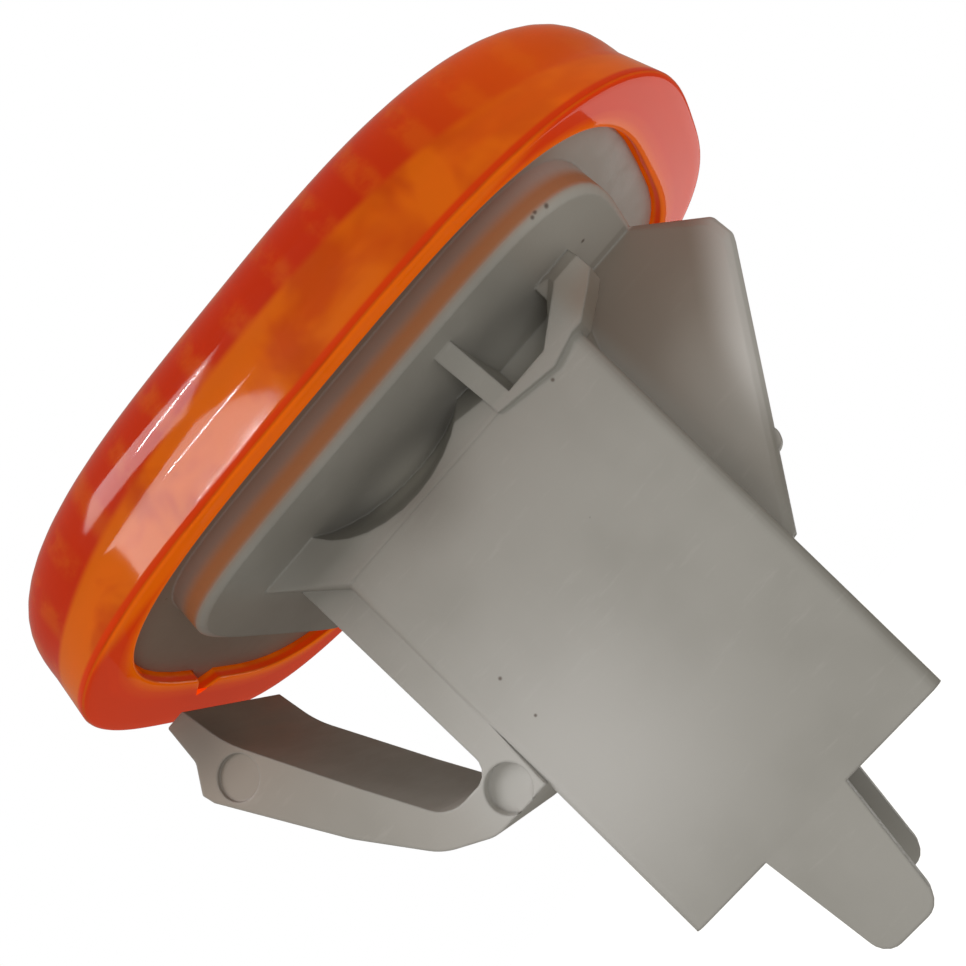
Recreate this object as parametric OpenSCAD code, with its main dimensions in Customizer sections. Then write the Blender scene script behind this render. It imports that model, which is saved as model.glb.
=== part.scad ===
// Side repeater lamp: an oval lens over a moulded housing that clips into a body panel.
// X runs along the lens, Y across it and Z out of the panel. The origin is the middle of the
// lens rim's rear face, which lies on the panel, so all of the housing below it is inside the car.

/* [Lens] */
// Length of the lens
lens_length = 72; // [66:1:80]
// Width of the lens
lens_width = 38.2; // [36:0.2:44]
// How full the lens's corners are at the clip's end, 2 is an ellipse
lens_fullness = 3.4; // [2.8:0.1:4]
// How full the lens's corners are at the hook's end
hook_end_fullness = 3; // [2.8:0.1:4]
// Height from the rear face to the crown
lens_height = 16.3; // [14.5:0.1:20]
// Height of the upright skirt
skirt_height = 5; // [4:0.5:7]
// How far the skirt's long sides lean in from the rear edge to the crown
skirt_draft = 0.8; // [0.2:0.1:1.2]
// How far the skirt's two ends lean in, before the shift
end_draft = 0.4; // [0.2:0.1:1.2]
// How far the crown lies off the rim, towards the clip's end
crown_shift = 0.5; // [0:0.1:1]
// How square the shoulder between skirt and crown is
crown_fullness = 2.8; // [2.2:0.1:4]
// Wall of the lens
lens_wall = 2.6; // [2:0.1:3.2]
// Width of the ledge inside the lens that carries the plate along its long sides
plate_ledge = 0.8; // [0.5:0.1:1.2]
// Width of the flat rim at the two ends
rim_end = 5.8; // [5:0.1:7]
// Length of the chamfer round the rear edge
rear_chamfer = 0.4; // [0.2:0.1:0.6]
// Spacing of the optic flutes inside the crown
flute_pitch = 4.6; // [3.5:0.1:7]
// Width of a flute at the skirt
flute_root = 2.8; // [2:0.1:3.2]
// Width of a flute at the crown
flute_crest = 1; // [0.6:0.1:1.6]
// Height of the optic flutes
flute_height = 0.9; // [0.4:0.1:1.2]

/* [Back plate] */
// How far the plate lies inside the rim
plate_recess = 1.2; // [0.6:0.1:1.6]
// Thickness of the plate
plate_thick = 2; // [1.6:0.1:2.6]
// Gap between the plate's edge and the lens
plate_clear = 0.15; // [0.1:0.05:0.3]
// How far the pointed key tab stands out from the plate's end
tab_length = 1.6; // [1:0.1:2.4]
// Width of the key tab at its root
tab_width = 2.4; // [1.6:0.1:3.2]
// How far the key tab lies off the lens centre, across the lens
tab_place = 0.3; // [0:0.1:1.5]

/* [Raised platform] */
// Distance from the lens's opening to the platform's long sides
platform_gap = 2.4; // [1.8:0.1:3]
// How full the platform's corners are at the hook's end
platform_fullness = 4.8; // [4:0.2:6]
// How full the platform's corners are at the clip's end
clip_end_fullness = 6; // [4:0.2:8]
// How far the platform reaches past the tube at the hook's end
platform_reach = 9.6; // [8.6:0.1:10.4]
// Room between the bulb's tip and the platform's wall at the clip's end
tip_room = 0.8; // [0.6:0.1:1.6]
// Height of the platform behind the lens rim
platform_rise = 2.4; // [1.6:0.1:3.2]
// Wall of the platform, which is a hollow reflector tray
tray_wall = 1.8; // [1.4:0.1:2.4]
// Length of the bevel round the platform's edge
platform_bevel = 0.5; // [0.2:0.1:0.8]

/* [Socket tube] */
// Width of the tube where it starts
tube_width = 27.6; // [26:0.2:30]
// Depth of the tube where it starts
tube_depth = 17.4; // [17:0.2:19]
// How far the tube lies off the lens centre, along the lens
tube_offset = 2.2; // [1:0.1:3]
// How far the tube's near face lies in front of the lens centre, where the tube starts
tube_front = 8.5; // [8:0.1:9]
// Distance from the panel face to the start of the tube
tube_start = 7.3; // [6.6:0.1:8]
// Distance from the panel face to the tube's mouth
tube_end = 44.9; // [43:0.1:52]
// How far the clip's side of the tube leans in towards the mouth
clip_side_draft = 0.3; // [0.2:0.05:0.8]
// How far the hook's side of the tube leans in towards the mouth
hook_side_draft = 1.5; // [0.8:0.1:2]
// How far the tube's near face leans in towards the mouth
face_draft = 3.3; // [2.4:0.1:3.4]
// Radius of the tube's long edges
tube_edge_r = 1.1; // [0.6:0.1:1.6]
// Wall of the tube
tube_wall = 1.4; // [1.2:0.1:1.6]
// Thickness of the tube's top wall under the platform
tube_roof = 2; // [1.6:0.1:3]

/* [Tongues] */
// Length of the guide tongues past the mouth
tongue_length = 10; // [8:0.2:13]
// Width of a tongue at its root
tongue_root = 8.4; // [7:0.2:10]
// Width of a tongue at its tip
tongue_tip = 5.4; // [4.4:0.2:6.4]
// Radius of a tongue's tip corners
tongue_tip_r = 1.6; // [0.8:0.1:2]
// How far the tongues lie off the tube's middle, towards the clip
tongue_shift = 1.7; // [0:0.1:2.5]

/* [Neck] */
// How far the neck flares past the tube at the clip's side
flare_clip_side = 5.4; // [4:0.1:6]
// How far the neck flares past the tube at the hook's side
flare_hook_side = 2.2; // [1.8:0.1:3]
// How far the neck's near side leans back towards the platform
neck_lean = 0.3; // [0.1:0.1:0.8]
// Radius of the scoop in the neck's near side
scoop_r = 9; // [7:0.5:10]
// Depth of the scoop at the platform
scoop_depth = 7.5; // [5:0.5:8]
// How far the scoop lies off the lens centre, towards the clip
scoop_place = 2; // [1:0.1:3]

/* [Rib and pocket] */
// Place of the sloped rib's left side along the lens, from the tube's middle
rib_place = 4.9; // [4.2:0.1:5.6]
// Width of the rib
rib_width = 1.8; // [1.4:0.1:2.4]
// How far the rib reaches out over the platform
rib_reach = 3.6; // [2.8:0.1:4]
// Depth of the pocket from the near face
pocket_depth = 7; // [5:0.5:8]
// Width of the pocket at the platform
pocket_width = 7.2; // [6:0.1:7.8]
// Height of the upright part of the pocket's right wall
pocket_step = 1.4; // [1:0.1:2]
// How far that wall slants in below its upright part
pocket_slant = 3.4; // [2.4:0.1:4]
// How far the bevel inside that wall widens the pocket at the platform
bevel_reach = 2.9; // [2:0.1:3.1]
// Depth of that bevel behind the tube's near face
bevel_depth = 1.6; // [1:0.1:2]
// Thickness of that wall at the platform
slant_wall = 4; // [3.8:0.1:4.6]
// Height of that wall's upright outer side over the pocket's floor
slant_rise = 1.6; // [1.2:0.1:2.2]
// How far the frame of the pocket stands out over the tube's near face
frame_proud = 0.4; // [0.2:0.1:0.6]
// Depth of the frame behind the tube's near face
frame_depth = 2.6; // [2:0.1:3.4]
// Width of the frame below the pocket, at the rib
frame_low = 0.5; // [0.3:0.1:0.8]
// Width of the frame below the pocket, at its right end
frame_high = 1.5; // [1:0.1:1.8]
// How far the frame leans back at the platform
frame_lean = 1.9; // [1:0.1:2.2]

/* [Hook] */
// How far the hook's nose lies inside the end of the lens
hook_inset = 5.4; // [5:0.1:7]
// How far the hook's near side lies behind the tube's near face
hook_place = 7.7; // [6:0.1:9]
// Thickness of the hook plate
hook_thick = 3.4; // [2.6:0.2:4.4]
// Distance from the panel face to the middle of the hook's nose
hook_level = 8.2; // [7.6:0.1:10]
// Height of the hook's nose
hook_nose = 2.4; // [2:0.1:3.6]
// Radius of the nose's two corners
nose_r = 0.9; // [0.5:0.1:1]
// Distance from the panel face to the hook's lower end
hook_end = 30; // [26:0.5:33]
// Radius of the hook's outer edges
hook_edge_r = 1; // [0.6:0.1:1.3]
// Radius of the gate's stub on the hook's edge
gate_r = 1.2; // [0.8:0.1:1.4]
// Thickness of the gate's stub
gate_thick = 1.6; // [1:0.1:2.2]
// Place of the stub along the edge, as a share of its length from the nose
gate_place = 0.69; // [0.5:0.01:0.8]

/* [Spring clip] */
// Depth of the clip
clip_depth = 14; // [12:0.5:15]
// How far the clip's near side lies behind the tube's near face
clip_place = 1.8; // [1:0.1:2.4]
// Thickness of the clip's leg along the tube
leg_thick = 2.2; // [1.8:0.1:2.6]
// How much thicker the leg is at the platform
leg_flare = 1.6; // [0.8:0.1:2]
// Distance from the panel face to the bottom of the clip's bend
bend_end = 29.6; // [28:0.2:32]
// Length of the bend's flat bottom, from the tube
bend_flat = 5.2; // [4:0.1:6]
// Thickness of the bend's bottom
bend_thick = 3.7; // [3:0.1:4.4]
// Length of the bend's inner floor, from the tube
bend_floor = 7; // [6:0.1:8]
// Distance of the bend's knee from the tube
knee_reach = 9.4; // [8:0.1:10]
// Height of the knee over the bend's bottom
knee_rise = 2.2; // [1.6:0.1:3]
// Distance of the arm's heel from the tube
heel_reach = 14.4; // [13:0.1:15]
// Height of the heel over the bend's bottom
heel_rise = 8.3; // [7:0.1:10]
// Thickness of the arm at its heel
arm_low = 4; // [3:0.1:4.6]
// Thickness of the arm behind the barb
arm_high = 5; // [4:0.1:5.6]
// Width of the arm's flat end
arm_tip = 2; // [1.6:0.1:2.6]
// Distance from the panel face to the arm's flat end
clip_gap = 3; // [2.8:0.1:4]
// How far the barb's point lies inside the end of the lens
barb_inset = 2.4; // [1.6:0.1:3.4]
// How far the barb stands out past the flat end
barb_depth = 1.4; // [0.8:0.1:2]
// Distance from the panel face to the barb's point
barb_level = 9.4; // [8.8:0.1:10.6]
// Height of the barb's blunt face
barb_face = 1.2; // [0.8:0.1:1.8]
// How far the blunt face leans in
barb_lean = 0.4; // [0.1:0.1:0.8]
// Height of the ramp over the barb's point
barb_ramp = 2.4; // [1.6:0.1:3]
// Diameter of the round ejector marks on the clip
ejector_d = 4; // [3:0.1:4.2]
// Depth of the ejector mark behind the barb
mark_depth = 0.3; // [0.15:0.05:0.6]
// Depth of the ejector mark at the bend
bend_mark_depth = 0.9; // [0.4:0.1:1.4]
// Distance of the ejector mark behind the barb from the barb, along the arm
mark_place = 1.8; // [1.6:0.1:2.6]
// Radii of the clip's bends: knee, heel, inside of the heel, inside of the bend
knee_r = 6; // [4:0.5:7]
heel_r = 12; // [8:0.5:14]
heel_inside_r = 14; // [10:0.5:16]
bend_inside_r = 3; // [2:0.1:3.4]

/* [Bulb] */
// Diameter of the bulb's glass
bulb_d = 10; // [9.4:0.1:10.2]
// Length of the bulb from its tip to the end of its base
bulb_length = 26.8; // [25:0.2:27.2]
// Gap between the bulb and the flutes over it
bulb_gap = 1.1; // [0.6:0.1:1.5]
// How far the bulb's axis lies behind the lens centre, across the lens
bulb_side = 3; // [2.6:0.1:4]
// Wall of the bulb's glass
glass_wall = 0.8; // [0.6:0.1:1]
// Length of the bulb's flat base
wedge_length = 6.6; // [6:0.2:7.4]
// Width of the bulb's flat base
wedge_width = 9.2; // [8.6:0.1:9.4]
// Thickness of the bulb's flat base
wedge_thick = 2.4; // [2:0.1:2.8]
// Height of the pinched glass between the flat base and the round bulb
glass_foot = 1.2; // [0.8:0.1:1.6]
// Thickness of the glass floor over the pinched glass
glass_floor = 1.4; // [1:0.1:2]
// Thickness of the bulb's lead wires
wire_d = 0.5; // [0.4:0.1:0.6]
// Length of the wire ends folded back over the flat base
wire_fold = 5.6; // [4:0.2:6]
// Distance of a folded wire from the middle of the base
wire_place = 2; // [1.4:0.1:3]
// Distance from the bulb's tip to the filament
filament_drop = 7.1; // [6:0.1:9]
// Length of the coiled filament
filament_length = 4.2; // [3.4:0.1:5]

/* [Bulb holder and contacts] */
// Gap round the bulb's base in the holder
holder_clear = 0.2; // [0.15:0.05:0.3]
// Wall of the holder outside the contacts and behind the base
holder_wall = 1.6; // [1.2:0.1:2.2]
// How far the bulb's base stands out of the open top of the holder
base_proud = 0.8; // [0.4:0.1:1.4]
// Width of a contact blade
blade_width = 2.8; // [2.2:0.1:3.2]
// Thickness of a contact blade
blade_thick = 0.8; // [0.6:0.1:1]
// Distance of the blades' middle from the neck of the bulb's base
blade_place = 2; // [1.8:0.1:2.4]
// How far the blades reach past the middle of the bulb's base
leaf_reach = 3.2; // [2.6:0.1:3.6]
// Length of the blades' pins inside the tube, below the seal
pin_length = 10; // [7:0.5:16]
// Radius of the corners at a blade's two ends
blade_end_r = 0.6; // [0.3:0.1:0.9]
// Thickness of the seal round the blades under the tube's roof
seal_thick = 2.5; // [1.6:0.1:4]

/* [Hidden] */

// Points round an oval outline, and layers in the crown of the lens
oval_steps = 60;
crown_layers = 7;
// Share of the crown's quarter curve that is drawn, so that the top stays a small flat oval
crown_part = 0.985;
// Roundness of cylinders, of cylinders inside a hull and of rounded outline corners
round_fn = 48;
hull_fn = 28;
corner_steps = 5;
// Thin slice used to stretch one outline to another
slice = 0.02;
// Overlap that joins two forms of one moulding, and overrun of a cut
join = 0.4;
overrun = 1;

lens_a = lens_length / 2;
lens_b = lens_width / 2;
opening_a = lens_a - rim_end;
opening_b = lens_b - lens_wall + plate_ledge;
plate_front = plate_recess + plate_thick;

tube_left = tube_offset - tube_width / 2;
tube_right = tube_offset + tube_width / 2;
tube_near = -tube_front;
tube_far = tube_near + tube_depth;
tube_run = tube_end - tube_start;
cavity_top = -tube_start - tube_roof;
tongue_overlap = 6;

// The scoop is a little narrower at the tube, where it runs out just off the near face.
scoop_low_r = scoop_r - 1;
scoop_runout = 0.4;

pocket_left = tube_offset + rib_place + rib_width;
pocket_right = pocket_left + pocket_width;
pocket_low_right = pocket_right - pocket_slant;

hook_reach = lens_a - hook_inset;
hook_near = tube_near + hook_place;
// The hook ends on the tube's side.
hook_low = tube_right - hook_side_draft * (hook_end - tube_start) / tube_run;

clip_near = tube_near + clip_place;
leg_face = tube_left - leg_thick;
barb_x = -lens_a + barb_inset;

// The bulb lies along the lens with its tip towards the clip. Its base is over the tube, so
// that both blades run straight down from it, behind the scoop, to their pins.
bulb_r = bulb_d / 2;
bulb_level = lens_height - lens_wall - flute_height - bulb_gap - bulb_r;
neck_x = tube_offset - blade_place;
base_x = neck_x + wedge_length;
// Distances along the bulb from the end of its base
glass_start = wedge_length + glass_foot;
inside_start = glass_start + glass_floor;
dome_start = bulb_length - bulb_r;
filament_start = bulb_length - filament_drop;
filament_r = 0.4;
filament_wire_r = 0.09;
filament_turns = 12;

// The platform reaches from just past the bulb's tip to the hook, and keeps clear of the opening.
platform_left = base_x - bulb_length - tip_room - tray_wall;
platform_right = tube_right + platform_reach;
platform_a = (platform_right - platform_left) / 2;
platform_b = opening_b - platform_gap;
platform_place = (platform_left + platform_right) / 2;
tray_floor = tray_wall - platform_rise;

// Gap round the blades in the holder and the platform, and round the seal
contact_gap = 0.1;
seal_gap = 0.05;
leaf_y = wedge_thick / 2 + wire_d + contact_gap;
slot_floor = bulb_level - wedge_width / 2 - holder_clear;
holder_top = bulb_level + wedge_width / 2 - base_proud;
pin_end = cavity_top - seal_thick - pin_length;

function mix(a, b, t) = a + (b - a) * t;
function unit(v) = v / norm(v);
function signed_power(v, p) = sign(v) * pow(abs(v), p);

// An oval with half length a, half width b and a fullness for each end
function oval(a, b, clip_fullness, hook_fullness) = [
    for (i = [0 : oval_steps - 1])
    let (
        t = 360 * i / oval_steps,
        power = 2 / (cos(t) < 0 ? clip_fullness : hook_fullness)
    )
    [a * signed_power(cos(t), power), b * signed_power(sin(t), power)]
];
function lens_oval(a, b) = oval(a, b, lens_fullness, hook_end_fullness);
function opening_oval(gap) = oval(opening_a - gap, opening_b - gap, lens_fullness, lens_fullness);
function platform_oval(inset) =
    oval(platform_a - inset, platform_b - inset, clip_end_fullness, platform_fullness);

// Corner points of an outline, each [x, y, radius], turned into a rounded outline
function rounded(corners) = [
    for (i = [0 : len(corners) - 1])
    let (
        n = len(corners),
        here = [corners[i][0], corners[i][1]],
        before = [corners[(i + n - 1) % n][0], corners[(i + n - 1) % n][1]],
        after = [corners[(i + 1) % n][0], corners[(i + 1) % n][1]],
        r = corners[i][2]
    )
    each r == 0 ? [here] : round_corner(here, unit(before - here), unit(after - here), r)
];
function round_corner(here, back, ahead, r) =
    let (
        half = acos(back * ahead) / 2,
        centre = here + unit(back + ahead) * r / sin(half),
        from = here + back * r / tan(half) - centre,
        to = here + ahead * r / tan(half) - centre
    )
    [for (k = [0 : corner_steps]) centre + r * unit(mix(from, to, k / corner_steps))];

// A profile drawn in X and Z, made solid from y0 to y1
module across(y0, y1) {
    translate([0, y1, 0])
        rotate([90, 0, 0])
            linear_extrude(y1 - y0)
                children();
}

// A profile drawn in Y and Z, made solid from x0 to x1
module along(x0, x1) {
    translate([x0, 0, 0])
        rotate([90, 0, 90])
            linear_extrude(x1 - x0)
                children();
}

// The lens

// Solid dome of the lens, drawn in by wall on every side
module dome(wall, base) {
    a = lens_a - end_draft - wall;
    b = lens_b - skirt_draft - wall;
    crown = lens_height - skirt_height - wall;
    hull() {
        translate([-crown_shift * base / skirt_height, 0, base])
            linear_extrude(slice)
                polygon(lens_oval(lens_a - wall, lens_b - wall));
        translate([-crown_shift, 0, skirt_height - slice])
            linear_extrude(slice)
                polygon(lens_oval(a, b));
        for (k = [1 : crown_layers])
            let (
                s = crown_part * sin(90 * k / crown_layers),
                width = pow(1 - pow(s, crown_fullness), 1 / crown_fullness)
            )
            translate([-crown_shift, 0, skirt_height + crown * s / crown_part - slice])
                linear_extrude(slice)
                    polygon(lens_oval(a * width, b * width));
    }
}

// Pointed tab at one end of the plate, which keys the housing to the lens
module key_tab(gap) {
    edge = norm([tab_length, tab_width / 2]);
    reach = opening_a + tab_length + gap * edge / (tab_width / 2);
    half = tab_width / 2 + gap * edge / tab_length;
    translate([0, -tab_place])
        polygon([
            [-opening_a + overrun, -half],
            [-opening_a, -half],
            [-reach, 0],
            [-opening_a, half],
            [-opening_a + overrun, half]
        ]);
}

// Upright ridges inside the crown, which spread the light along the car
module optic_flutes() {
    count = floor((lens_a - lens_wall - flute_pitch) / flute_pitch);
    intersection() {
        difference() {
            dome(lens_wall - join / 2, plate_front);
            dome(lens_wall + flute_height, plate_front - overrun);
        }
        for (i = [-count : count])
            translate([i * flute_pitch, 0, 0])
                across(-lens_b, lens_b)
                    polygon([
                        [-flute_root / 2, skirt_height],
                        [flute_root / 2, skirt_height],
                        [flute_crest / 2, lens_height],
                        [-flute_crest / 2, lens_height]
                    ]);
    }
}

module lens() {
    color([0.93, 0.42, 0.02, 0.8])
    difference() {
        union() {
            difference() {
                hull() {
                    linear_extrude(slice)
                        polygon(lens_oval(lens_a - rear_chamfer, lens_b - rear_chamfer));
                    dome(0, rear_chamfer);
                }
                dome(lens_wall, plate_front);
            }
            optic_flutes();
        }
        translate([0, 0, -overrun])
            linear_extrude(plate_front + overrun)
                union() {
                    polygon(opening_oval(0));
                    key_tab(plate_clear);
                }
    }
}

// The housing

// Rounded section of the tube at a level below the panel, drawn in by inset
module tube_section(level, inset) {
    t = (level - tube_start) / tube_run;
    r = max(0.3, tube_edge_r - inset / 3);
    polygon(rounded([
        [tube_left + clip_side_draft * t + inset, tube_near + face_draft * t + inset, r],
        [tube_right - hook_side_draft * t - inset, tube_near + face_draft * t + inset, r],
        [tube_right - hook_side_draft * t - inset, tube_far - inset, r],
        [tube_left + clip_side_draft * t + inset, tube_far - inset, r]
    ]));
}

// Length of the tube between two levels
module tube_form(level_a, level_b, inset) {
    hull() {
        translate([0, 0, -level_a - slice])
            linear_extrude(slice)
                tube_section(level_a, inset);
        translate([0, 0, -level_b])
            linear_extrude(slice)
                tube_section(level_b, inset);
    }
}

// Guide tongue that carries on one wall of the tube past its mouth
module tongue(face) {
    across(face, face + tube_wall)
        translate([tube_offset - tongue_shift, -tube_end])
            polygon(rounded([
                [-tongue_root / 2, tongue_overlap, 0],
                [-tongue_root / 2, 0, 0],
                [-tongue_tip / 2, -tongue_length, tongue_tip_r],
                [tongue_tip / 2, -tongue_length, tongue_tip_r],
                [tongue_root / 2, 0, 0],
                [tongue_root / 2, tongue_overlap, 0]
            ]));
}

module plate_and_platform() {
    // plate and its key tab
    translate([0, 0, plate_recess])
        linear_extrude(plate_thick)
            polygon(opening_oval(plate_clear));
    translate([0, 0, plate_recess])
        linear_extrude(plate_thick - plate_clear)
            key_tab(0);
    // raised platform with a bevelled edge
    translate([platform_place, 0, 0])
        hull() {
            translate([0, 0, platform_bevel - platform_rise])
                linear_extrude(platform_rise - platform_bevel + plate_front - join)
                    polygon(platform_oval(0));
            translate([0, 0, -platform_rise])
                linear_extrude(slice)
                    polygon(platform_oval(platform_bevel));
        }
}

// The flared neck joins the platform and the narrower tube below it.
module neck() {
    difference() {
        hull() {
            translate([0, 0, -tube_start - join])
                linear_extrude(slice)
                    tube_section(tube_start, 0);
            translate([0, 0, -platform_rise])
                linear_extrude(join)
                    polygon([
                        [tube_left - flare_clip_side, tube_near + neck_lean],
                        [tube_left, tube_near + neck_lean],
                        [tube_right + flare_hook_side, hook_near],
                        [tube_right + flare_hook_side, tube_far],
                        [tube_left - flare_clip_side, tube_far]
                    ]);
        }
        hull() {
            translate([-scoop_place, tube_near - scoop_low_r - scoop_runout, -tube_start])
                cylinder(h = slice, r = scoop_low_r, $fn = hull_fn);
            translate([-scoop_place, tube_near + scoop_depth - scoop_r, -platform_rise - slice])
                cylinder(h = slice, r = scoop_r, $fn = hull_fn);
        }
    }
}

// Sloped rib on the pocket's left, and the wall on its right behind the frame
module pocket_sides() {
    along(pocket_left - rib_width, pocket_left)
        polygon([
            [tube_near - rib_reach, -platform_rise + join],
            [tube_near - rib_reach, -platform_rise],
            [tube_near, -tube_start - join],
            [tube_near + pocket_depth, -tube_start - join],
            [tube_near + pocket_depth, -platform_rise + join]
        ]);
    across(tube_near + frame_depth - join, tube_near + pocket_depth)
        polygon([
            [pocket_right, -platform_rise + join],
            [pocket_right, -platform_rise - pocket_step],
            [pocket_low_right, -tube_start],
            [pocket_low_right, -tube_start - join],
            [tube_right, -tube_start - join],
            [tube_right + flare_hook_side, -platform_rise + join]
        ]);
}

// Raised frame along the pocket's lower and right sides, which leans back at the platform
module pocket_frame() {
    front = tube_near - frame_proud;
    lean_start = -platform_rise - pocket_step - join;
    difference() {
        across(front, tube_near + frame_depth)
            polygon([
                [pocket_left - rib_width, -tube_start + join],
                [pocket_left - rib_width, -tube_start - frame_low],
                [pocket_low_right, -tube_start - frame_high],
                [tube_right - tube_edge_r / 2, -tube_start - frame_high / 2],
                [tube_right + tube_edge_r / 2, -tube_start - frame_high / 2],
                [pocket_right + slant_wall - tube_edge_r, -tube_start + slant_rise / 2],
                [pocket_right + slant_wall, -tube_start + slant_rise],
                [pocket_right + slant_wall, -platform_rise + join],
                [pocket_right, -platform_rise + join],
                [pocket_left, -tube_start + join]
            ]);
        along(pocket_left - rib_width - overrun, pocket_right + slant_wall + overrun)
            polygon([
                [front - overrun, lean_start],
                [front, lean_start],
                [front + frame_lean, -platform_rise],
                [front + frame_lean, -platform_rise + overrun],
                [front - overrun, -platform_rise + overrun]
            ]);
    }
}

// Outline of the pocket, widened by reach at its right side
module pocket_outline(reach) {
    polygon([
        [pocket_left, -platform_rise],
        [pocket_right + reach, -platform_rise],
        [pocket_right + reach * 0.45, -platform_rise - pocket_step - reach * 0.15],
        [pocket_low_right + reach * 0.1, -tube_start],
        [pocket_left, -tube_start]
    ]);
}

module pocket_cut() {
    across(tube_near - frame_proud - overrun, tube_near + pocket_depth)
        pocket_outline(0);
    // bevel inside the frame
    hull() {
        across(tube_near - frame_proud - overrun, tube_near - frame_proud)
            pocket_outline(bevel_reach);
        across(tube_near + bevel_depth, tube_near + bevel_depth + slice)
            pocket_outline(0);
    }
}

// Side view of the hook, drawn in by inset along its free edges
module hook_profile(inset) {
    polygon(rounded([
        [tube_right - join, -platform_rise + join, 0],
        [platform_right - inset, -platform_rise + join, 0],
        [platform_right - inset, -platform_rise, 0],
        [hook_reach - inset, -hook_level + hook_nose / 2 - inset / 2, nose_r],
        [hook_reach - inset, -hook_level - hook_nose / 2, nose_r],
        [hook_low + join - inset, -hook_end, 0],
        [hook_low - hook_edge_r - inset, -hook_end, 0]
    ]));
}

// Rigid hook beside the tube, which goes under the panel first
module hook() {
    far = hook_near + hook_thick;
    rim = hook_edge_r / 3;
    nose_low = [hook_reach, -hook_level - hook_nose / 2];
    gate = mix(nose_low, [hook_low, -hook_end], gate_place);
    gate_near = hook_near + (hook_thick - gate_thick) / 2;
    hull() {
        across(hook_near, far)
            hook_profile(hook_edge_r);
        across(hook_near + rim, far - rim)
            hook_profile(rim);
        across(hook_near + hook_edge_r, far - hook_edge_r)
            hook_profile(0);
    }
    // stub left by the moulding gate
    translate([gate[0] - join, gate_near, gate[1] + join])
        rotate([-90, 0, 0])
            cylinder(h = gate_thick, r = gate_r, $fn = round_fn);
}

// Side view of the spring clip: a leg down the tube, a bend, and an arm up to the panel
module clip_profile(heel, barb_low, inward) {
    polygon(rounded([
        [tube_left + join, -platform_rise + join, 0],
        [tube_left + join, -bend_end, 0],
        [tube_left - bend_flat, -bend_end, bend_inside_r],
        [tube_left - knee_reach, -bend_end + knee_rise, knee_r],
        concat(heel, heel_r),
        concat(barb_low, 0.5),
        [barb_x, -barb_level, 0.3],
        [barb_x + barb_depth, -barb_level + barb_ramp, 1.2],
        [barb_x + barb_depth, -clip_gap, 0.2],
        [barb_x + barb_depth + arm_tip, -clip_gap, 0.2],
        concat(barb_low + arm_high * inward, heel_r),
        concat(heel + arm_low * inward, heel_inside_r),
        [tube_left - bend_floor, -bend_end + bend_thick, bend_inside_r],
        [leg_face, -bend_end + bend_thick, 1.5],
        [leg_face - leg_flare, -platform_rise + join, 0]
    ]));
}

module clip() {
    heel = [tube_left - heel_reach, -bend_end + heel_rise];
    barb_low = [barb_x + barb_lean, -barb_level - barb_face];
    arm = unit(barb_low - heel);
    // square to the arm, towards the tube
    inward = [arm[1], -arm[0]];
    high_mark = barb_low - mark_place * arm + arm_high / 2 * inward;
    low_mark = [leg_face + join / 2, -bend_end + bend_thick / 2];
    difference() {
        across(clip_near, clip_near + clip_depth)
            clip_profile(heel, barb_low, inward);
        ejector_mark(high_mark, mark_depth);
        ejector_mark(low_mark, bend_mark_depth);
    }
}

module ejector_mark(place, depth) {
    translate([place[0], clip_near - overrun, place[1]])
        rotate([-90, 0, 0])
            cylinder(h = overrun + depth, r = ejector_d / 2, $fn = round_fn);
}

module housing() {
    color([0.66, 0.65, 0.61])
    difference() {
        union() {
            plate_and_platform();
            neck();
            pocket_sides();
            pocket_frame();
            tube_form(tube_start, tube_end, 0);
            hook();
            clip();
            tongue(tube_near + face_draft);
            tongue(tube_far - tube_wall);
        }
        // reflector tray, open towards the lens
        translate([platform_place, 0, tray_floor])
            linear_extrude(plate_front - tray_floor + overrun)
                polygon(platform_oval(tray_wall));
        // the plug's cavity in the tube, and the ways through for the two blades
        tube_form(-cavity_top, tube_end + slice, tube_wall);
        blade(-1, contact_gap);
        blade(1, contact_gap);
        pocket_cut();
    }
}

// The bulb

// Lays down a bulb part that is drawn standing on the end of its base
module lay_bulb() {
    translate([base_x, bulb_side, bulb_level])
        rotate([0, -90, 0])
            children();
}

module bulb_glass() {
    color([0.9, 0.93, 0.95, 0.35])
    lay_bulb()
        difference() {
            union() {
                translate([0, 0, glass_start])
                    cylinder(h = dome_start - glass_start, r = bulb_r, $fn = round_fn);
                translate([0, 0, dome_start])
                    sphere(r = bulb_r, $fn = round_fn);
                translate([-wedge_width / 2, -wedge_thick / 2, 0])
                    cube([wedge_width, wedge_thick, glass_start + join]);
            }
            translate([0, 0, inside_start])
                cylinder(h = dome_start - inside_start, r = bulb_r - glass_wall, $fn = round_fn);
            translate([0, 0, dome_start])
                sphere(r = bulb_r - glass_wall, $fn = round_fn);
        }
}

// A wire wound about X: rings of points, each square to the wire, joined along a helix
module coil(length, turns, r, wire_r, sides = 5, steps = 10) {
    count = turns * steps;
    points = [
        for (i = [0 : count])
        let (
            angle = 360 * i / steps,
            middle = [length * (i / count - 0.5), r * cos(angle), r * sin(angle)],
            outward = [0, cos(angle), sin(angle)]
        )
        for (k = [0 : sides - 1])
        let (turn = 360 * k / sides)
        middle + wire_r * (cos(turn) * outward + [sin(turn), 0, 0])
    ];
    walls = [
        for (i = [0 : count - 1], k = [0 : sides - 1])
        let (a = i * sides + k, b = i * sides + (k + 1) % sides)
        [a, b, b + sides, a + sides]
    ];
    ends = [[for (k = [sides - 1 : -1 : 0]) k], [for (k = [0 : sides - 1]) count * sides + k]];
    polyhedron(points, concat(walls, ends), convexity = 10);
}

module filament() {
    color([0.45, 0.45, 0.47])
    lay_bulb()
        translate([0, 0, filament_start])
            coil(filament_length, filament_turns, filament_r, filament_wire_r);
}

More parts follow.
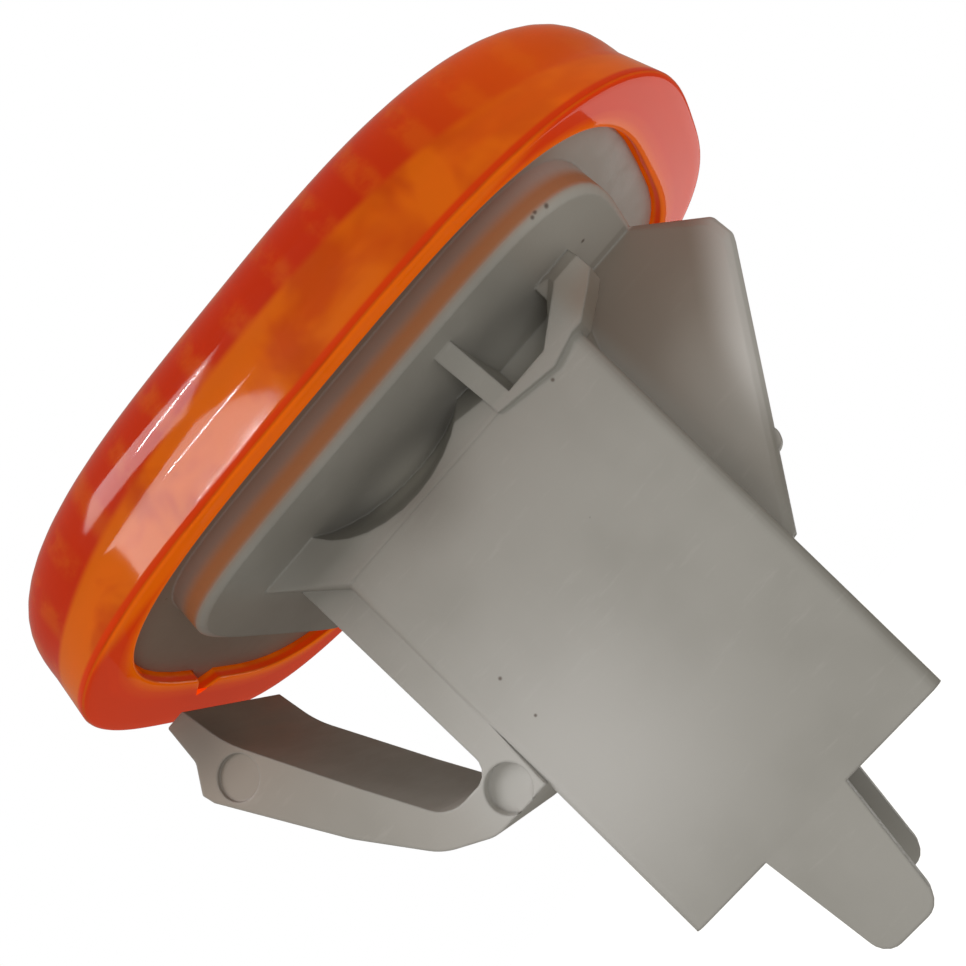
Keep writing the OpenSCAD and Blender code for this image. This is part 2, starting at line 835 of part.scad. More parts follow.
// Two supports inside the glass, and the two wire ends folded back over the flat base
module lead_wires() {
    support_x = filament_length / 2 + filament_wire_r + wire_d / 2;
    fold_y = (wedge_thick + wire_d) / 2;
    color([0.62, 0.6, 0.56])
    lay_bulb()
        for (side = [-1, 1]) {
            translate([side * support_x, 0, inside_start])
                cylinder(h = filament_start + filament_r - inside_start, r = wire_d / 2, $fn = round_fn);
            translate([side * wire_place, side * fold_y, -wire_d])
                cylinder(h = wire_fold + wire_d, r = wire_d / 2, $fn = round_fn);
            translate([side * wire_place, side * fold_y, -wire_d / 2])
                rotate([side * 90, 0, 0])
                    cylinder(h = fold_y, r = wire_d / 2, $fn = round_fn);
        }
}

// The holder, the contacts and the seal

// One straight contact blade on the given side of the bulb's base, from the base to its pin,
// or with a gap the way through that it needs
module blade(side, gap) {
    half = blade_width / 2 + gap;
    top = bulb_level + leaf_reach + gap;
    middle = bulb_side + side * (leaf_y + blade_thick / 2);
    across(middle - blade_thick / 2 - gap, middle + blade_thick / 2 + gap)
        polygon(rounded([
            [tube_offset - half, pin_end - gap, blade_end_r],
            [tube_offset + half, pin_end - gap, blade_end_r],
            [tube_offset + half, top, blade_end_r],
            [tube_offset - half, top, blade_end_r]
        ]));
}

// Left and right are as seen from the clip along the bulb.
module contact_left() {
    color([0.78, 0.66, 0.36])
        blade(1, 0);
}

module contact_right() {
    color([0.78, 0.66, 0.36])
        blade(-1, 0);
}

// Block on the floor of the tray, with an open slot for the bulb's base
module bulb_holder() {
    start = neck_x - glass_foot + holder_clear;
    end = base_x + wire_d + holder_clear + holder_wall;
    half = leaf_y + blade_thick + holder_wall;
    color([0.12, 0.12, 0.13])
    difference() {
        translate([start, bulb_side - half, tray_floor])
            cube([end - start, 2 * half, holder_top - tray_floor]);
        translate([start - overrun, bulb_side - leaf_y, slot_floor])
            cube([end - holder_wall - start + overrun, 2 * leaf_y, holder_top - slot_floor + overrun]);
        blade(-1, contact_gap);
        blade(1, contact_gap);
    }
}

module holder_seal() {
    color([0.1, 0.1, 0.1])
    difference() {
        tube_form(-cavity_top, seal_thick - cavity_top, tube_wall + seal_gap);
        blade(-1, seal_gap);
        blade(1, seal_gap);
    }
}

housing();
lens();
bulb_glass();
filament();
lead_wires();
bulb_holder();
contact_left();
contact_right();
holder_seal();
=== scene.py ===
import math

import bpy
import numpy as np
from mathutils import Matrix, Vector


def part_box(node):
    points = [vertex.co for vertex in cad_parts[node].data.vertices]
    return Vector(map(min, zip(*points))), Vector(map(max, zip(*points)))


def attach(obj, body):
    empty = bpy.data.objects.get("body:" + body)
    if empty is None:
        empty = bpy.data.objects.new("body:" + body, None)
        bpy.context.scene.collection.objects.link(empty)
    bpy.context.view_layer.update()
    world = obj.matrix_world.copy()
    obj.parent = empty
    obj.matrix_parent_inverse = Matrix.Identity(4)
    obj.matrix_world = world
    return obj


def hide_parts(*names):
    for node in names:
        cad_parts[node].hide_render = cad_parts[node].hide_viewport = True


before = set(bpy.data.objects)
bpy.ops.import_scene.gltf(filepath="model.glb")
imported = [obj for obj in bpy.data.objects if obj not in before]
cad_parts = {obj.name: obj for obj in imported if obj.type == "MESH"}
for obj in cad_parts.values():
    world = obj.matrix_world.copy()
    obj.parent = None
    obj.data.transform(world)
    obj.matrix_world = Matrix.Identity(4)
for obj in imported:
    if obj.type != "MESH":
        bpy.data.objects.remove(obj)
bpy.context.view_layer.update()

MM = 0.001


# The lens is one amber acrylic moulding, polished outside and fluted inside its crown. Its flat
# rear rim seats on the panel, and the housing's plate is welded into the opening of that rim.
crown_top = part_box("lens")[1][2]
half_long, half_wide = 36 * MM, 19.1 * MM
clip_fullness, hook_fullness, crown_fullness = 3.4, 3.0, 3.05
skirt_top = 5 * MM
end_draft, side_draft = 0.4 * MM, 0.8 * MM
crown_long, crown_wide = half_long - end_draft, half_wide - side_draft
crown_shift = 0.5 * MM
lens_wall = 2.6 * MM
rear_edge_r = 0.4 * MM
rim_end, rim_side = 5.8 * MM, 1.8 * MM
opening_long, opening_wide = half_long - rim_end, half_wide - rim_side
opening_edge_r = 0.3 * MM
plate_front = 3.2 * MM
flute_pitch = 4.6 * MM
flute_height = 0.9 * MM
flute_root, flute_crest = 2.8 * MM, 1.0 * MM
flute_last = 6
flute_blend = 0.3 * MM
flute_fade = 0.15
notch_y = -0.3 * MM
notch_half, notch_reach = 1.39 * MM, 1.85 * MM
lip_fade = 1.1 * MM
ring_points = 480
outer_rows, inner_rows = 44, 84
side_rows, rim_rows, wall_rows, ledge_rows, under_rows, edge_rows = 8, 6, 5, 3, 4, 4
curve_steps = 4001
fine_steps = 20001
smooth_below = 38


def oval_point(t, clip_end, hook_end):
    """Point of a unit oval at angle t: cos and sin are raised to 2 / fullness, sign kept.
    The fullness is clip_end where cos is negative and hook_end elsewhere."""
    power = 2 / np.where(np.cos(t) < 0, clip_end, hook_end)
    return (np.sign(np.cos(t)) * np.abs(np.cos(t)) ** power,
            np.sign(np.sin(t)) * np.abs(np.sin(t)) ** power)


def even_steps(parameter, x, y, count, closed=False):
    """Parameter values at which a finely sampled curve is cut into count equal lengths."""
    length = np.concatenate([[0], np.cumsum(np.hypot(np.diff(x), np.diff(y)))])
    return np.interp(np.linspace(0, length[-1], count + 1)[: count if closed else None],
                     length, parameter)


def crown_curve(rows, long, height):
    """Width and height shares of the crown: width^n + height^n = 1, from the apex out."""
    power = 2 / crown_fullness
    angle = np.linspace(0, np.pi / 2, curve_steps)
    out, up = long * np.sin(angle) ** power, height * np.cos(angle) ** power
    angle = even_steps(angle, out, up, rows)
    return np.sin(angle) ** power, np.abs(np.cos(angle)) ** power


def closed_shell(name, x, y, z):
    """Mesh over a grid whose columns go round and whose first and last rows are single points."""
    rows, cols = x.shape
    points = np.stack([x, y, z], axis=-1)
    inside = points[1:-1].reshape(-1, 3)
    vertices = np.vstack([points[0, :1], inside, points[-1, :1]])
    here = np.arange(cols)
    after = (here + 1) % cols
    start = 1 + np.arange(rows - 3)[:, None] * cols
    quads = np.stack([start + here, start + cols + here, start + cols + after, start + after], -1)
    last = len(vertices) - 1
    low = 1 + (rows - 3) * cols
    fans = [np.stack([np.zeros_like(here), 1 + here, 1 + after], -1),
            np.stack([low + here, np.full_like(here, last), low + after], -1)]
    mesh = bpy.data.meshes.new(name)
    faces = quads.reshape(-1, 4).tolist() + np.vstack(fans).tolist()
    mesh.from_pydata(vertices.tolist(), [], faces)
    mesh.polygons.foreach_set("use_smooth", np.ones(len(mesh.polygons), bool))
    mesh.set_sharp_from_angle(angle=math.radians(smooth_below))
    piece = bpy.data.objects.new(name, mesh)
    bpy.context.scene.collection.objects.link(piece)
    return piece


def straight(start, end, count):
    """Rows from start to end, without start itself, each (half length, half width, height)."""
    return np.array(start) + (np.array(end) - start) * np.linspace(0, 1, count + 1)[1:, None]


def rounded_edge(long, wide, height, r, start, end):
    """Rows round an edge: r cos(angle) is added to both halves, r sin(angle) to the height.
    The angle goes from start to end, in degrees."""
    angle = np.radians(np.linspace(start, end, edge_rows + 1))[:, None]
    out, up = r * np.cos(angle), r * np.sin(angle)
    return np.hstack([long + out, wide + out, height + up])


fine = np.linspace(0, 2 * np.pi, fine_steps)
fine_x, fine_y = oval_point(fine, clip_fullness, hook_fullness)
ring = even_steps(fine, half_long * fine_x, half_wide * fine_y, ring_points, closed=True)
ring_x, ring_y = oval_point(ring, clip_fullness, hook_fullness)
opening_x, opening_y = oval_point(ring, clip_fullness, clip_fullness)

crown_height = crown_top - skirt_top
width, rise = crown_curve(outer_rows, crown_long, crown_height)
outer = np.stack([crown_long * width, crown_wide * width, skirt_top + crown_height * rise], -1)
rear_edge = rounded_edge(half_long - rear_edge_r, half_wide - rear_edge_r, rear_edge_r,
                         rear_edge_r, 0, -90)
lip = rounded_edge(opening_long + opening_edge_r, opening_wide + opening_edge_r, opening_edge_r,
                   opening_edge_r, 270, 180)
inner_wall = np.array((half_long - lens_wall, half_wide - lens_wall, plate_front))
opening_top = (opening_long, opening_wide, plate_front)
sections = [
    outer,
    straight(outer[-1], rear_edge[0], side_rows)[:-1],
    rear_edge,
    straight(rear_edge[-1], lip[0], rim_rows)[:-1],
    lip,
    straight(lip[-1], opening_top, wall_rows),
    straight(opening_top, inner_wall, ledge_rows),
    straight(inner_wall, (crown_long - lens_wall, crown_wide - lens_wall, skirt_top),
             under_rows)[:-1],
]
lens_rows = np.vstack(sections)
# The opening is a fuller oval than the lens at the hook's end, so the rim's rows blend from one
# to the other. The lens shifts towards the clip, evenly up to the skirt's top.
blended = np.concatenate([np.zeros(len(outer) + side_rows - 1 + len(rear_edge)),
                          np.linspace(0, 1, rim_rows + 1)[1:-1],
                          np.ones(len(lip) + wall_rows),
                          np.linspace(1, 0, ledge_rows + 1)[1:],
                          np.zeros(under_rows - 1)])[:, None]
shift = crown_shift * np.clip(lens_rows[:, 2:] / skirt_top, 0, 1)
lens_x = lens_rows[:, :1] * (ring_x + blended * (opening_x - ring_x)) - shift * (blended == 0)
lens_y = lens_rows[:, 1:2] * (ring_y + blended * (opening_y - ring_y))
lens_z = np.repeat(lens_rows[:, 2:], ring_points, axis=1)

# The rim is notched at the clip's end for the plate's pointed key tab.
first = sum(len(section) for section in sections[:4])
last = first + len(lip) + wall_rows
off_middle = np.abs(lens_y[first:last] - notch_y)
cut = notch_reach * np.clip(1 - off_middle / notch_half, 0, 1)
at_clip_end = lens_x[first:last] < -0.8 * opening_long
lens_x[first:last] -= np.where(at_clip_end, cut, 0)

# The brighter strip along the opening's lip: 1 at the opening, falling to 0 over lip_fade.
lip_strip = np.zeros(lens_x.shape)
from_opening = np.hypot(lens_x - opening_long * opening_x, lens_y - opening_wide * opening_y)
on_rim = slice(first - rim_rows, first)
lip_strip[on_rim] = np.clip(1.25 - from_opening[on_rim] / lip_fade, 0, 1)
lip_strip[first:last] = 1

# Inside the crown the wall thickens into ribs that run across the lens.
width, rise = (row[::-1, None] for row in crown_curve(inner_rows, crown_long, crown_height))
inside_x = (crown_long - lens_wall) * width * ring_x - crown_shift
nearest = np.clip(np.round(inside_x / flute_pitch), -flute_last, flute_last) * flute_pitch
half_rib = (flute_root + (flute_crest - flute_root) * rise) / 2
rib = np.clip((half_rib + flute_blend - np.abs(inside_x - nearest)) / (2 * flute_blend), 0, 1)
rib = rib * rib * (3 - 2 * rib) * np.clip(rise / flute_fade, 0, 1)
wall = lens_wall + flute_height * rib
lens_x = np.vstack([lens_x, (crown_long - wall) * width * ring_x - crown_shift])
lens_y = np.vstack([lens_y, (crown_wide - wall) * width * ring_y])
lens_z = np.vstack([lens_z, skirt_top + (crown_height - wall) * rise])
amber_lens = closed_shell("amber_lens", lens_x, lens_y, lens_z)
lip_strip = np.vstack([lip_strip, np.zeros((len(lens_x) - len(lip_strip), ring_points))])
lip_strip = np.concatenate([lip_strip[0, :1], lip_strip[1:-1].ravel(), lip_strip[-1, :1]])
amber_lens.data.attributes.new("lip_strip", "FLOAT", "POINT").data.foreach_set("value", lip_strip)


class Finish:
    """A new material with its shader, and short ways to add and join nodes."""

    def __init__(self, name):
        self.material = bpy.data.materials.new(name)
        self.material.use_nodes = True
        self.tree = self.material.node_tree
        self.shader = self.tree.nodes["Principled BSDF"]
        self.place = self.add("ShaderNodeTexCoord").outputs["Object"]

    def add(self, kind, **settings):
        node = self.tree.nodes.new(kind)
        for key, value in settings.items():
            setattr(node, key, value)
        return node

    def join(self, source, target):
        if isinstance(source, bpy.types.NodeSocket):
            self.tree.links.new(source, target)
        else:
            target.default_value = source

    def fixed(self, **values):
        for key, value in values.items():
            self.shader.inputs[key.replace("_", " ")].default_value = value

    def mapped(self, scale, turn=(0, 0, 0)):
        node = self.add("ShaderNodeMapping")
        self.join(self.place, node.inputs["Vector"])
        node.inputs["Scale"].default_value = scale
        node.inputs["Rotation"].default_value = [math.radians(a) for a in turn]
        return node.outputs["Vector"]

    def noise(self, size, detail=4, roughness=0.55, stretch=(1, 1, 1), turn=(0, 0, 0), warp=0.0):
        """Noise whose blobs are about size metres across, from 0 to 1."""
        node = self.add("ShaderNodeTexNoise")
        self.join(self.mapped([s / size for s in stretch], turn), node.inputs["Vector"])
        self.join(1.0, node.inputs["Scale"])
        self.join(detail, node.inputs["Detail"])
        self.join(roughness, node.inputs["Roughness"])
        self.join(warp, node.inputs["Distortion"])
        return node.outputs["Fac"]

    def between(self, value, low, high, start=0.0, end=1.0):
        """Value taken from the span low..high to start..end, smoothly and without overrun."""
        node = self.add("ShaderNodeMapRange", interpolation_type="SMOOTHSTEP")
        for socket, number in zip(("Value", "From Min", "From Max", "To Min", "To Max"),
                                  (value, low, high, start, end)):
            self.join(number, node.inputs[socket])
        return node.outputs["Result"]

    def both(self, a, b):
        """Where both masks are 1: their product."""
        return self.maths("MULTIPLY", a, b)

    def either(self, a, b):
        """Where one of two masks is 1: the larger of them."""
        return self.maths("MAXIMUM", a, b)

    def maths(self, operation, a, b=0.0):
        node = self.add("ShaderNodeMath", operation=operation)
        self.join(a, node.inputs[0])
        self.join(b, node.inputs[1])
        return node.outputs["Value"]

    def blend(self, share, a, b):
        """Colour a with b laid over it by a share from 0 to 1."""
        node = self.add("ShaderNodeMix", data_type="RGBA")
        self.join(share, node.inputs["Factor"])
        for socket, colour in (("A_Color", a), ("B_Color", b)):
            target = next(s for s in node.inputs if s.identifier == socket)
            self.join((*colour, 1) if isinstance(colour, tuple) else colour, target)
        return next(s for s in node.outputs if s.identifier == "Result_Color")

    def axis(self, name):
        node = self.add("ShaderNodeSeparateXYZ")
        self.join(self.place, node.inputs["Vector"])
        return node.outputs[name]

    def spot(self, place, reach, soft):
        """1 inside reach of a place on the piece, falling to 0 over the soft share of it."""
        node = self.add("ShaderNodeVectorMath", operation="DISTANCE")
        self.join(self.place, node.inputs[0])
        self.join(place, node.inputs[1])
        return self.between(node.outputs["Value"], reach, reach * (1 - soft))

    def relief(self, height, distance, after=None):
        """Bump from a height of 0 to 1 that stands for distance metres, over another bump."""
        node = self.add("ShaderNodeBump")
        self.join(height, node.inputs["Height"])
        self.join(distance, node.inputs["Distance"])
        if after is not None:
            self.join(after, node.inputs["Normal"])
        return node.outputs["Normal"]

    def use(self, colour=None, roughness=None, normal=None):
        for socket, value in (("Base Color", colour), ("Roughness", roughness), ("Normal", normal)):
            if value is not None:
                self.join(value, self.shader.inputs[socket])

    def put_on(self, piece):
        if len(piece.material_slots) == 0:
            piece.data.materials.append(self.material)
        for place in piece.material_slots:
            place.material = self.material


amber = Finish("amber_acrylic")
amber.fixed(IOR=1.49, Transmission_Weight=0.3, Specular_IOR_Level=0.09, Emission_Strength=0.3)
orange, brown_orange = (0.60, 0.118, 0.001), (0.45, 0.05, 0.001)
deep_red, patch_red = (0.46, 0.025, 0.002), (0.52, 0.075, 0.003)
bar_red, crease_red, rim_red = (0.42, 0.045, 0.001), (0.58, 0.04, 0.001), (0.74, 0.05, 0.002)
end_orange, bright = (0.74, 0.135, 0.001), (0.9, 0.17, 0.001)
height, length, across = amber.axis("Z"), amber.axis("X"), amber.axis("Y")
mottle = amber.noise(9 * MM, detail=3, warp=0.4)
clouds = amber.noise(4 * MM, detail=4, roughness=0.6)
body = amber.blend(amber.both(amber.between(mottle, 0.44, 0.62, 0, 0.85),
                              amber.between(height, 13 * MM, 9 * MM)), orange, brown_orange)
# Seen from the front, the ribs inside the crown show as deeper bars across it.
wave = amber.maths("COSINE", amber.maths("MULTIPLY", length, 2 * math.pi / flute_pitch))
bars = amber.both(amber.between(wave, -0.6, 0.9, 0, 0.7),
                  amber.between(height, 11 * MM, 14.5 * MM))
body = amber.blend(bars, body, bar_red)
# The crown looks red from the side, where one looks through the most acrylic. The red starts
# lower at the two ends, by band_bow at 25 mm from the middle, and each flute behind it shows
# as a lighter patch.
band_level, band_bow = 7.2 * MM, 2.2 * MM
bow = amber.maths("MULTIPLY", amber.maths("MULTIPLY", length, length), band_bow / (25 * MM) ** 2)
over = amber.maths("ADD", amber.maths("SUBTRACT", height, band_level), bow)
shoulder = amber.both(amber.between(over, -0.35 * MM, 0.45 * MM),
                      amber.between(height, 14.6 * MM, 12.4 * MM))
patch = amber.both(amber.between(wave, -0.5, 1.0), amber.between(clouds, 0.4, 0.62))
red = amber.blend(amber.maths("MULTIPLY", patch, 0.7), deep_red, patch_red)
body = amber.blend(shoulder, body, red)
body = amber.blend(amber.between(length, 12 * MM, 32 * MM, 0, 0.55), body, end_orange)
# The rear edge shows as a red crease. The rim behind it is redder where it is wide, and bright
# along its near side and round the opening.
crease = amber.both(amber.between(height, 0.12 * MM, 0.3 * MM),
                    amber.between(height, 1.0 * MM, 0.6 * MM))
body = amber.blend(crease, body, crease_red)
strip = amber.add("ShaderNodeAttribute", attribute_name="lip_strip").outputs["Fac"]
near_rim = amber.between(across, -16 * MM, -17.5 * MM)
rim = amber.blend(amber.either(strip, near_rim), rim_red, bright)
body = amber.blend(amber.between(height, 0.2 * MM, 0.05 * MM), body, rim)
# A weak glow of the same colour stands for the light that the acrylic carries.
amber.join(body, amber.shader.inputs["Emission Color"])
amber.use(colour=body, roughness=amber.between(clouds, 0.3, 0.8, 0.04, 0.1),
          normal=amber.relief(amber.noise(7 * MM, detail=2), 0.02 * MM))
amber.put_on(amber_lens)
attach(amber_lens, "root")
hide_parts("lens")


# The housing is one moulding in light grey nylon: plate, platform, socket tube, rigid hook and
# spring clip. It is satin and a little scuffed, with painted light and shade in places, brown where
# the lens shades it.
grey = Finish("grey_nylon")
grey.fixed(IOR=1.5, Specular_IOR_Level=0.35)
edge_softness = 0.35 * MM
soft_edges = grey.add("ShaderNodeBevel", samples=6)
soft_edges.inputs["Radius"].default_value = edge_softness
true_normal = grey.add("ShaderNodeNewGeometry").outputs["True Normal"]
edge_turn = grey.add("ShaderNodeVectorMath", operation="DOT_PRODUCT")
grey.join(soft_edges.outputs["Normal"], edge_turn.inputs[0])
grey.join(true_normal, edge_turn.inputs[1])
wear_and_edge_highlight = grey.between(edge_turn.outputs["Value"], 0.99, 0.8)
patches = grey.noise(14 * MM, detail=3)
grain = grey.noise(0.5 * MM, detail=3)
scuffs = grey.noise(5 * MM, detail=6, roughness=0.7, stretch=(1, 1, 6), turn=(0, 35, 0))
specks = grey.noise(0.8 * MM, detail=2, roughness=0.4)
height, length, depth = grey.axis("Z"), grey.axis("X"), grey.axis("Y")
light_nylon, dark_nylon = (0.475, 0.465, 0.435), (0.42, 0.41, 0.38)
scuffed, speck_brown = (0.55, 0.54, 0.51), (0.16, 0.14, 0.12)
body = grey.blend(grey.between(patches, 0.35, 0.7), light_nylon, dark_nylon)
body = grey.blend(grey.between(scuffs, 0.56, 0.72, 0, 0.35), body, scuffed)
body = grey.blend(grey.between(specks, 0.8, 0.84, 0, 0.6), body, speck_brown)


def painted_light_and_shade(under, colour, places):
    """Colour laid over a finish in round patches, each (x, y, z, reach, soft share, share)."""
    for x, y, z, reach, soft, share in places:
        patch = grey.spot((x * MM, y * MM, z * MM), reach * MM, soft)
        under = grey.blend(grey.maths("MULTIPLY", patch, share), under, colour)
    return under


# Painted light: a broad light pool on the lower near face, and lighter patches that fill in the
# shade of the scoop and the pocket.
body = painted_light_and_shade(body, (0.68, 0.67, 0.65), [(-9, -6.3, -31, 19, 1.0, 0.9)])
body = painted_light_and_shade(body, (0.8, 0.78, 0.72), [(-3, -2.5, -4, 6, 0.8, 0.7), (11, -3, -4.5, 6, 0.8, 0.7)])
# Painted shade, tinted brown by the lens's orange light, on the hook and on the clip under the
# lens.
painted_lens_shade = grey.either(grey.between(length, 15.5 * MM, 18 * MM),
                    grey.between(length, -15 * MM, -19 * MM))
painted_lens_shade = grey.both(painted_lens_shade, grey.between(height, -22 * MM, -6 * MM, 0.15, 0.75))
painted_lens_shade = grey.both(painted_lens_shade, grey.between(height, -2.0 * MM, -2.8 * MM))
body = grey.blend(painted_lens_shade, body, (0.37, 0.295, 0.24))
# Painted sheen: the platform's end and the top of the hook's near side are painted lighter.
painted_sheen_end = grey.both(grey.between(length, 13 * MM, 22 * MM),
                      grey.between(height, -7 * MM, -3 * MM))
near_side = grey.either(grey.between(depth, -1.2 * MM, -2.2 * MM),
                        grey.between(height, -2.6 * MM, -2.2 * MM))
body = grey.blend(grey.both(painted_sheen_end, near_side), body, (0.66, 0.64, 0.6))
# Painted shade: darker patches beside the scoop, on the platform above it and at the clip's tip.
body = painted_light_and_shade(body, (0.21, 0.19, 0.165), [(-2, -8.5, -6.5, 7, 1.0, 0.55),
                                           (-11, -8.4, -4, 7, 1.0, 0.4),
                                           (-31, -6.7, -6, 6, 1.0, 0.75)])
# The hook's long edge is painted lighter, a painted highlight where its rounded edge catches the
# light. Its distance is measured square to its slope.
from_edge = grey.maths("SUBTRACT", grey.maths("MULTIPLY", length, 0.795),
                       grey.maths("MULTIPLY", height, 0.606))
painted_edge_highlight = grey.both(grey.between(from_edge, 26 * MM, 30 * MM),
                   grey.between(length, 19 * MM, 24 * MM))
body = grey.blend(grey.maths("MULTIPLY", painted_edge_highlight, 0.85), body, (0.88, 0.87, 0.85))
# Painted light and shade: the plate and the platform's upright side under the lens are painted a
# dark orange brown for the shade there tinted by the lens's light, less towards the hook's end, and
# a band of the upright side is painted orange for the lens's light on it.
glow = grey.both(grey.between(height, -2.2 * MM, -1.4 * MM),
                 grey.between(height, 0.4 * MM, -0.9 * MM))
glow = grey.both(glow, grey.between(length, -28.5 * MM, -27 * MM))
warm = grey.both(grey.between(height, -1.9 * MM, 1.0 * MM),
                 grey.between(length, 27 * MM, 19 * MM, 0.0, 0.6))
body = grey.blend(warm, body, (0.30, 0.18, 0.11))
body = grey.blend(grey.maths("MULTIPLY", glow, 0.85), body, (0.58, 0.25, 0.08))
# Edges are painted lighter: partly wear, partly painted highlight on the rounded edges.
body = grey.blend(grey.maths("MULTIPLY", wear_and_edge_highlight, 0.4), body, (0.62, 0.61, 0.59))
# Handling has left a few dark marks on the platform's edge and on the near face, each
# (x, y, z, reach) in millimetres.
marks = ((21.0, -13.4, -2.0, 0.3), (20.1, -13.9, -1.9, 0.26), (19.7, -13.9, -2.05, 0.26),
         (21.5, -5.9, -2.4, 0.3), (11.8, -8.3, -9.2, 0.25), (-7.9, -7.2, -21.6, 0.25),
         (-8.0, -6.9, -25.5, 0.2))
dark = 0.0
for x, y, z, reach in marks:
    dark = grey.either(dark, grey.spot((x * MM, y * MM, z * MM), reach * MM, soft=0.8))
body = grey.blend(grey.maths("MULTIPLY", dark, 0.75), body, (0.10, 0.06, 0.045))
uneven = grey.relief(patches, 0.1 * MM, after=soft_edges.outputs["Normal"])
grey.use(colour=body, roughness=grey.between(scuffs, 0.35, 0.7, 0.42, 0.6),
         normal=grey.relief(grain, 0.015 * MM, after=uneven))
grey.put_on(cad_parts["housing"])


# The bulb is a capless wedge bulb: clear glass pinched flat at its base, a coiled tungsten
# filament on two supports, and two wire ends folded back over the flat base.
glass = Finish("bulb_glass")
glass.fixed(IOR=1.5, Transmission_Weight=1.0)
glass.use(colour=glass.blend(glass.between(glass.noise(3 * MM), 0.4, 0.7), (0.93, 0.95, 0.95),
                             (0.86, 0.89, 0.9)),
          roughness=glass.between(glass.noise(2 * MM), 0.3, 0.8, 0.01, 0.06),
          normal=glass.relief(glass.noise(3 * MM, detail=1), 0.03 * MM))
glass.put_on(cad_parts["bulb_glass"])

tungsten = Finish("tungsten_wire")
tungsten.fixed(Metallic=1.0)
tungsten.use(colour=tungsten.blend(tungsten.noise(0.3 * MM), (0.24, 0.24, 0.26),
                                   (0.42, 0.42, 0.44)),
             roughness=tungsten.between(tungsten.noise(0.2 * MM), 0.3, 0.7, 0.3, 0.5))
tungsten.put_on(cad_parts["filament"])

tinned = Finish("tinned_wire")
tinned.fixed(Metallic=1.0)
tinned.use(colour=tinned.blend(tinned.noise(0.6 * MM), (0.5, 0.48, 0.44), (0.68, 0.66, 0.62)),
           roughness=tinned.between(tinned.noise(0.4 * MM), 0.3, 0.7, 0.25, 0.45))
tinned.put_on(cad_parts["lead_wires"])


# The holder is a black block on the floor of the tray. Two stamped brass blades run from it down
# to the plug's pins, through a soft rubber seal under the tube's roof.
black = Finish("black_nylon")
black.use(colour=black.blend(black.between(black.noise(3 * MM), 0.4, 0.7), (0.022, 0.022, 0.024),
                             (0.05, 0.049, 0.047)),
          roughness=black.between(black.noise(1.5 * MM), 0.3, 0.7, 0.4, 0.6),
          normal=black.relief(black.noise(0.3 * MM), 0.02 * MM))
black.put_on(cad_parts["bulb_holder"])

brass = Finish("stamped_brass")
brass.fixed(Metallic=1.0)
brass.use(colour=brass.blend(brass.between(brass.noise(2 * MM, detail=5), 0.4, 0.7),
                             (0.74, 0.52, 0.2), (0.5, 0.34, 0.14)),
          roughness=brass.between(brass.noise(1 * MM, stretch=(1, 1, 0.1)), 0.3, 0.7, 0.2, 0.42),
          normal=brass.relief(brass.noise(0.3 * MM, stretch=(1, 1, 0.05)), 0.01 * MM))
for name in ("contact_left", "contact_right"):
    brass.put_on(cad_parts[name])

rubber = Finish("seal_rubber")
rubber.use(colour=rubber.blend(rubber.noise(1.5 * MM), (0.014, 0.014, 0.014),
                               (0.035, 0.034, 0.033)),
           roughness=rubber.between(rubber.noise(1 * MM), 0.3, 0.7, 0.65, 0.85),
           normal=rubber.relief(rubber.noise(0.25 * MM), 0.02 * MM))
rubber.put_on(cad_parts["holder_seal"])


# The studio: a white floor that shows no shadow, white all round, a large soft lamp above and a
# fill lamp below. Two small lamps show only as reflections on the lens, a third one as a sheen.
floor_level = -0.13
floor_half = 6.0
corner_x = np.array([-floor_half, floor_half, floor_half, -floor_half])
corner_y = np.array([-floor_half, -floor_half, floor_half, floor_half])
floor_mesh = bpy.data.meshes.new("floor")
corners = np.stack([corner_x, corner_y, np.full(4, floor_level)], -1)
floor_mesh.from_pydata(corners.tolist(), [], [(0, 1, 2, 3)])
floor = bpy.data.objects.new("floor", floor_mesh)
bpy.context.scene.collection.objects.link(floor)
floor.visible_diffuse = floor.visible_glossy = floor.visible_transmission = False
floor.visible_shadow = False
paper = Finish("pale_paper")
paper.fixed(Roughness=0.9, Emission_Color=(1, 1, 1, 1), Emission_Strength=0.85)
paper.use(colour=paper.blend(paper.noise(0.4), (0.9, 0.9, 0.9), (0.92, 0.92, 0.92)))
paper.put_on(floor)

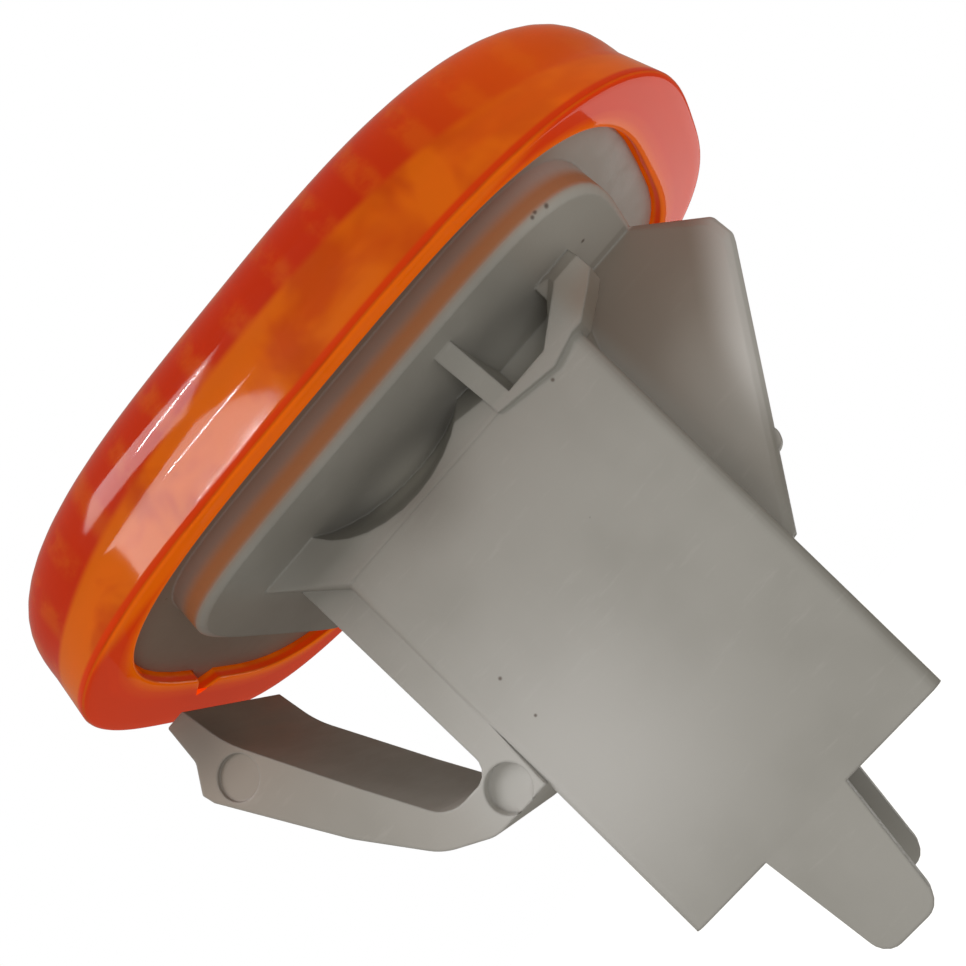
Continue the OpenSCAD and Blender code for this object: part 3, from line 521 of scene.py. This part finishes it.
# The camera sees the studio's walls white, and the part is lit by their weaker warm light.
sky = bpy.data.worlds.new("studio")
bpy.context.scene.world = sky
sky.use_nodes = True
walls = sky.node_tree.nodes["Background"]
seen = sky.node_tree.nodes.new("ShaderNodeMix")
seen.data_type = "RGBA"
ray = sky.node_tree.nodes.new("ShaderNodeLightPath")
sky.node_tree.links.new(ray.outputs["Is Camera Ray"], seen.inputs["Factor"])
for socket, colour in (("A_Color", (0.26, 0.245, 0.215, 1)), ("B_Color", (1, 1, 1, 1))):
    next(s for s in seen.inputs if s.identifier == socket).default_value = colour
sky.node_tree.links.new(next(s for s in seen.outputs if s.identifier == "Result_Color"),
                        walls.inputs["Color"])


lamp_distance = 0.45


def soft_lamp(name, towards, width, height, radiance, turn=0.0):
    """Area lamp that faces the middle of the part from a direction, turned about that line.
    Its power is pi times width, height and radiance."""
    lamp = bpy.data.lights.new(name, "AREA")
    lamp.shape = "RECTANGLE"
    lamp.size, lamp.size_y = width, height
    lamp.energy = radiance * math.pi * width * height
    rig = bpy.data.objects.new(name, lamp)
    aim = Vector(towards).normalized()
    facing = aim.to_track_quat("Z", "Y").to_matrix().to_4x4()
    rig.matrix_world = (Matrix.Translation(aim * lamp_distance) @ facing
                        @ Matrix.Rotation(math.radians(turn), 4, "Z"))
    bpy.context.scene.collection.objects.link(rig)
    return rig


key = soft_lamp("key", (-0.35, -0.68, 0.64), 0.3, 0.3, 3.7)
fill = soft_lamp("fill", (0.12, -0.84, -0.45), 0.2, 0.2, 2.5)
key.visible_glossy = fill.visible_glossy = False
window = soft_lamp("window", (-0.43, -0.57, 0.70), 0.17, 0.10, 6.5)
tube = soft_lamp("tube", (-0.335, -0.605, 0.72), 0.075, 0.003, 160, turn=23)
table = soft_lamp("table", (0.33, 0.84, -0.43), 0.14, 0.3, 1.6)
for lamp in (window, tube, table):
    lamp.visible_diffuse = False

# The camera stands close in front of the tube, rolled so that the lens runs to the upper right.
# Its right and up directions are those of the picture.
camera_data = bpy.data.cameras.new("camera")
camera_data.lens = 34.88
camera_data.sensor_width = 36
camera_data.shift_x = -0.1242
camera_data.shift_y = 0.0207
camera_data.clip_start = 0.005
camera = bpy.data.objects.new("camera", camera_data)
right = Vector((0.6632, 0.2512, -0.705))
up = Vector((0.741, -0.0882, 0.6657))
back = right.cross(up).normalized()
up = back.cross(right).normalized()
right.normalize()
camera_place = (14.9 * MM, -75.8 * MM, -35.8 * MM)
facing = Matrix((right, up, back)).transposed().to_4x4()
camera.matrix_world = Matrix.Translation(camera_place) @ facing
bpy.context.scene.collection.objects.link(camera)
bpy.context.scene.camera = camera
bpy.context.scene.view_settings.view_transform = "Standard"
